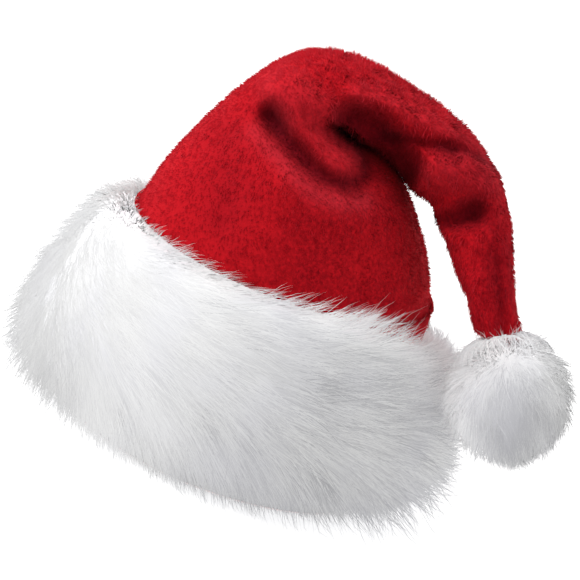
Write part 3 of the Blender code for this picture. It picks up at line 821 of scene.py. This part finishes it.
# Height over a share of the foot: z - gap - trim h.
def clearOfFoot(points, trim):
    return (points[..., 2] - bandShape["floorGap"]
            - np.maximum(trim, 0) * footHeight(points, bandShape["tuck"]))


# Lengths cut where a hair dips under its share of the foot: L c / (c - e), with c and e the
# root's and the tip's height over it.
def trimmed(shape, rng, hair, direction, length):
    trim = rng.uniform(*shape["trim"], shape["locks"])[hair["which"]]
    trim = trim + rng.normal(0, 0.1, shape["count"])
    rooted = np.maximum(clearOfFoot(hair["root"], trim), hairShape["leastRoot"])
    reached = clearOfFoot(hair["root"] + length[:, None] * direction, trim)
    kept = np.where(reached < 0, rooted / (rooted - reached), 1)
    kept = kept * rng.uniform(0.9, 1.4, shape["count"])
    return length * np.clip(kept, hairShape["leastKept"], 1)


# Paths p(t) = root + L (d t + b t^2) + draw (middle - root) t^1.3 + A wave t sin(w t + phase),
# with A across the hair.
def hairPaths(root, middle, out, direction, bend, length, draw, rings, speed, rng):
    part = np.linspace(0, 1, rings + 1)[None, :, None]
    aside = unit(np.cross(direction, out))
    phase = rng.uniform(0, 6.3, (len(root), 1, 1))
    wave = np.sin(part * speed + phase) * part * hairShape["wave"]
    gather = draw * (middle - root)[:, None] * part ** 1.3
    course = direction[:, None] * part + bend[:, None] * part ** 2
    return root[:, None] + length[:, None, None] * course + gather + aside[:, None] * wave


# Tone of each hair: 0.85 + bright - streaked (0.3 - streaks and random shares), where the 0.3
# streaked part is a painted shade that darkens hairs towards the right and away from the top edge.
def hairTones(shape, rng, hair):
    mottle = streakedAndShaded(hair["root"], hair["place"])
    strand = (0.5 * streaks(hair["middle"], 53)
              + rng.normal(0, 0.26, shape["locks"])[hair["which"]]
              + rng.normal(0, 0.12, shape["count"]))
    return np.clip(0.85 + shape["bright"] - mottle * (0.3 - strand), 0, 1)


# Hairs of the band, which lean back to the surface and end above the floor. Near the top edge
# their shading turns upwards.
def buildHairs(name, shape, material):
    rng = np.random.default_rng(shape["seed"])
    count, rings = shape["count"], shape["rings"]
    hair = hairRoots(shape, rng)
    root, out, place = hair["root"], hair["out"], hair["place"]
    flow = spline(bandFlow, place)
    flow = np.broadcast_to(shape.get("flow", flow), flow.shape)
    direction = hairDirections(shape, rng, hair, flow)
    length = hairLengths(shape, rng, hair, flow)
    bend = -0.16 * out + np.array([0, 0, -0.10]) + rng.normal(0, 0.05, (count, 3))
    length = trimmed(shape, rng, hair, direction + bend, length)
    paths = hairPaths(root, hair["middle"], out, direction, bend, length, shape["draw"], rings,
                      4.5, rng)
    lowest = rng.uniform(0, hairShape["aboveFloor"], (count, 1))
    lowest = bandShape["floorGap"] + shape["radius"] + lowest
    paths[..., 2] = np.maximum(paths[..., 2], lowest)
    radii = shape["radius"] * rng.uniform(0.7, 1.25, count)[:, None] * np.array(hairTapers[rings])
    tones = {"tone": hairTones(shape, rng, hair)}
    guide = unit(out + np.array([0, 0, 0.8]) * (1 - ease(0.5, 2.5, place))[:, None])
    edge = (1 - ease(0.4, 1.6, place)) * ease(-0.11, -0.04, root[:, 0])
    return addNeedles(name, paths, radii, guide, hairShape["flat"], material, tones,
                      shape["soft"] * (1 - 0.25 * edge), 90 * ease(-0.115, -0.05, root[:, 0]))


# Loose hairs let the light through, so that the fur stays soft and bright.
def letLightThrough(hairs):
    hairs.visible_diffuse = False
    hairs.visible_shadow = False


hairMaterial = furMaterial("fur_hair", "hair")
for name, shape in hairSets.items():
    hairs = buildHairs(name, shape, hairMaterial)
    letLightThrough(hairs)
    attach(hairs, "root")
    report(name)

# Pompom: a packed ball, hairs swept down and round it from the neck, and wavy locks on top
pompomShape = dict(core=0.032, sides=72, rings=37, pole=0.02, lump=0.0012, lumpSize=0.012,
                   locks=900, count=8600, length=0.021, radius=0.00026, spread=0.0055,
                   draw=0.5, wild=0.22, rootDepth=0.001, seed=61)
waveShape = dict(count=420, rings=5, start=0.24, reach=(0.25, 0.95), speed=(5, 9), swing=0.05,
                 lift=0.0042, arch=0.0050, radius=0.00032, seed=62)


# Unit spokes at tilt a from the neck and turn b: s = -cos a H + sin a (cos b D + sin b A),
# and the way down along the ball, ds/da.
def spokes(tilt, turn):
    hang, deep, across = pompomAxes()
    ring = np.cos(turn)[..., None] * deep + np.sin(turn)[..., None] * across
    spoke = -np.cos(tilt)[..., None] * hang + np.sin(tilt)[..., None] * ring
    down = np.sin(tilt)[..., None] * hang + np.cos(tilt)[..., None] * ring
    return spoke, down


# The imported ball: centre + s (core + lump noise), with painted light near the neck, where the
# tail shades it.
def buildPompomCore():
    rings, sides = pompomShape["rings"], pompomShape["sides"]
    tilt = np.linspace(pompomShape["pole"], math.pi - pompomShape["pole"], rings)[:, None]
    turn = np.linspace(0, 2 * math.pi, sides, endpoint=False)[None, :]
    spoke, _down = spokes(*np.broadcast_arrays(tilt, turn))
    points = pompomCentre + spoke * pompomShape["core"]
    lump = pompomShape["lump"] * cloud(points, pompomShape["lumpSize"], 62)
    points = points + spoke * lump[..., None]
    side = np.arange(sides)
    ends = [side[None, ::-1], ((rings - 1) * sides + side)[None]]
    flat = points.reshape(-1, 3)
    # Painted light: the tone rises near the neck, under the tail's shadow.
    light = np.repeat(0.7 * (1 - ease(0.4, 1.1, tilt[:, 0])), sides)
    tones = {"tone": 0.3 + 0.3 * cloud(flat, 0.004, 63) + light}
    return addMesh("pompom_core", flat, [ringFaces(rings, sides)] + ends,
                   furMaterial("white_pile", "core"), tones)


# Hairs of the pompom, with d between the spoke and the way down, and a painted shade that darkens
# them at the front.
def buildPompomHairs():
    rng = np.random.default_rng(pompomShape["seed"])
    locks, count = pompomShape["locks"], pompomShape["count"]
    lockTilt = np.arccos(1 - 2 * rng.uniform(0.012, 1, locks))
    lockTurn = rng.uniform(0, 2 * math.pi, locks)
    which = rng.integers(0, locks, count)
    lockSpoke = spokes(lockTilt, lockTurn)[0][which]
    off = rng.normal(0, 0.5, (count, 3)) * pompomShape["spread"] / pompomShape["core"]
    spoke = unit(lockSpoke + off)
    middle = pompomCentre + lockSpoke * pompomShape["core"]
    root = pompomCentre + spoke * (pompomShape["core"] - pompomShape["rootDepth"])
    tilt = np.arccos(np.clip(-(spoke @ pompomHang), -1, 1))[:, None]
    down = unit(pompomHang + spoke * np.cos(tilt))
    lean = (rng.normal(0, 1, (locks, 3)) * pompomShape["wild"])[which]
    lean = lean + rng.normal(0, 0.12, (count, 3))
    sweep = 1.05 - 0.45 * ease(1.7, 2.9, tilt)
    top = 1 - ease(0.35, 0.85, tilt)
    left = np.maximum(-spoke[:, :1], 0)
    direction = (0.66 + 0.45 * left) * spoke + (sweep - 0.35 * top) * down * ease(0.0, 0.4, tilt)
    direction = unit(direction + lean - 0.25 * top * pompomHang + np.array([0, 0, -0.10]))
    length = pompomShape["length"] * rng.uniform(0.75, 1.15, count)
    length = length * rng.uniform(0.85, 1.15, locks)[which]
    bend = -0.20 * spoke + np.array([0, 0, -0.06]) + rng.normal(0, 0.05, (count, 3))
    paths = hairPaths(root, middle, spoke, direction, bend, length, pompomShape["draw"], 3, 5, rng)
    radii = pompomShape["radius"] * rng.uniform(0.5, 1.2, count)[:, None] * np.array(hairTapers[3])
    # Painted shade: the tone falls where the hairs face the front.
    front = np.maximum(-spoke[:, 1], 0) ** 2
    tone = 1.0 - 1.25 * front + 0.25 * cloud(middle, 0.007, 64) + rng.normal(0, 0.2, count)
    guide = unit(spoke * np.array([1, 1, 0.35]) + np.array([0, -0.15, 0.30]))
    return addNeedles("pompom_hair", paths, radii, guide, hairShape["flat"], hairMaterial,
                      {"tone": np.clip(tone, 0, 1)}, 0.88, 90)


# Wavy locks from the neck over the top: p(t) = centre + r(t) s(tilt(t), turn + wave sin(w t)).
def buildPompomWaves():
    rng = np.random.default_rng(waveShape["seed"])
    count, rings = waveShape["count"], waveShape["rings"]
    part = np.linspace(0, 1, rings + 1)[None, :]
    tilt = waveShape["start"] + rng.uniform(*waveShape["reach"], (count, 1)) * part ** 0.9
    phase = rng.uniform(0, 6.3, (count, 1))
    speed = rng.uniform(*waveShape["speed"], (count, 1))
    swing = waveShape["swing"] * np.sin(phase + speed * part) / np.sin(tilt)
    turn = rng.uniform(0, 2 * math.pi, (count, 1)) + swing
    spoke, _down = spokes(tilt, turn)
    arch = waveShape["arch"] * np.sin(math.pi * np.minimum(part * 0.9 + 0.1, 1))
    radius = pompomShape["core"] + waveShape["lift"] + arch
    paths = pompomCentre + spoke * radius[..., None]
    radii = (waveShape["radius"] * rng.uniform(0.6, 1.3, (count, 1))
             * np.linspace(1.0, 0.5, rings)[None])
    tone = np.clip(0.8 + rng.normal(0, 0.3, count), 0, 1)
    guide = unit(spoke[:, 4] + np.array([0, 0.3, 0.5]))
    return addNeedles("pompom_waves", paths, radii, guide, hairShape["flat"], hairMaterial,
                      {"tone": tone}, 0.8)


core = buildPompomCore()
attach(core, "root")
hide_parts("pompom")
pompomHair = buildPompomHairs()
letLightThrough(pompomHair)
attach(pompomHair, "root")
waves = buildPompomWaves()
letLightThrough(waves)
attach(waves, "root")
report("pompom")

# Studio: a pale floor, a sky that is brighter behind, and a soft light from the upper left
studio = dict(reach=14.0, floorColour=(0.93, 0.93, 0.93, 1.0), floorGlow=0.42, skyFront=0.58,
              skyBehind=1.20, keyPlace=(-2.0, -0.45, 1.9), keyAim=(0.02, 0, 0.12), keySize=1.1,
              keyPower=38)


# The floor, a square that glows a little to stay white.
def buildFloor():
    reach = studio["reach"]
    corners = reach * np.array([[-1, -1, 0], [1, -1, 0], [1, 1, 0], [-1, 1, 0]])
    material = bpy.data.materials.new("floor")
    material.use_nodes = True
    setInputs(material.node_tree.nodes["Principled BSDF"],
              {"Base Color": studio["floorColour"], "Roughness": 0.9, "Specular IOR Level": 0.0,
               "Emission Color": white, "Emission Strength": studio["floorGlow"]})
    floor = addMesh("floor", corners, [np.array([[0, 1, 2, 3]])], material, {})
    floor.visible_diffuse = False
    floor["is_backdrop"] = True


# The sky and the key light, aimed at the hat.
def buildLights():
    world = bpy.data.worlds.new("sky")
    bpy.context.scene.world = world
    world.use_nodes = True
    tree = world.node_tree
    background = tree.nodes["Background"]
    setInputs(background, {"Color": white})
    toward = addNode(tree, "ShaderNodeTexCoord").outputs["Generated"]
    depth = addNode(tree, "ShaderNodeSeparateXYZ", {"Vector": toward}).outputs["Y"]
    strength = remap(tree, depth, -1.0, 1.0, studio["skyFront"], studio["skyBehind"])
    tree.links.new(strength, background.inputs["Strength"])
    light = bpy.data.lights.new("key", "AREA")
    light.size, light.energy = studio["keySize"], studio["keyPower"]
    lamp = bpy.data.objects.new("key", light)
    lamp.location = studio["keyPlace"]
    aim = Vector(studio["keyAim"]) - Vector(studio["keyPlace"])
    lamp.rotation_mode = "QUATERNION"
    lamp.rotation_quaternion = aim.to_track_quat("-Z", "Y")
    bpy.context.scene.collection.objects.link(lamp)


# View of the photo: its width, middle and the hat's axis in pixels, and pixels to a metre
view = dict(pixels=1569.0, width=580, middle=(290, 290), axis=(282, 265), axisHeight=0.125,
            roll=math.radians(21), elevation=math.radians(17), distance=4.0, sensor=36)


# Camera: pixel (px, py) of the photo lies at x = ((px - ax) cos R + (py - ay) sin R) / s and
# u = ((px - ax) sin R - (py - ay) cos R) / s, with roll R and s pixels to a metre.
def buildCamera():
    pixels, distance = view["pixels"], view["distance"]
    roll, elevation = view["roll"], view["elevation"]
    aside, below = (middle - axis for middle, axis in zip(view["middle"], view["axis"]))
    middleX = (aside * math.cos(roll) + below * math.sin(roll)) / pixels
    middleU = (aside * math.sin(roll) - below * math.cos(roll)) / pixels
    target = Vector((middleX, 0, view["axisHeight"] + middleU / math.cos(elevation)))
    forward = Vector((0, math.cos(elevation), -math.sin(elevation)))
    right = Vector((1, 0, 0))
    up = right.cross(forward)
    turnedRight = right * math.cos(roll) + up * math.sin(roll)
    turnedUp = -right * math.sin(roll) + up * math.cos(roll)
    data = bpy.data.cameras.new("camera")
    data.sensor_width = view["sensor"]
    data.lens = view["sensor"] * distance / (view["width"] / pixels)
    camera = bpy.data.objects.new("camera", data)
    basis = Matrix((turnedRight, turnedUp, -forward)).transposed().to_4x4()
    camera.matrix_world = Matrix.Translation(target - forward * distance) @ basis
    bpy.context.scene.collection.objects.link(camera)
    bpy.context.scene.camera = camera


buildFloor()
buildLights()
buildCamera()
bpy.context.scene.view_settings.view_transform = "Standard"
report("studio")

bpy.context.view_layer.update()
triangles = sum(len(piece.data.loops) - 2 * len(piece.data.polygons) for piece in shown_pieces())
print("triangles", triangles)
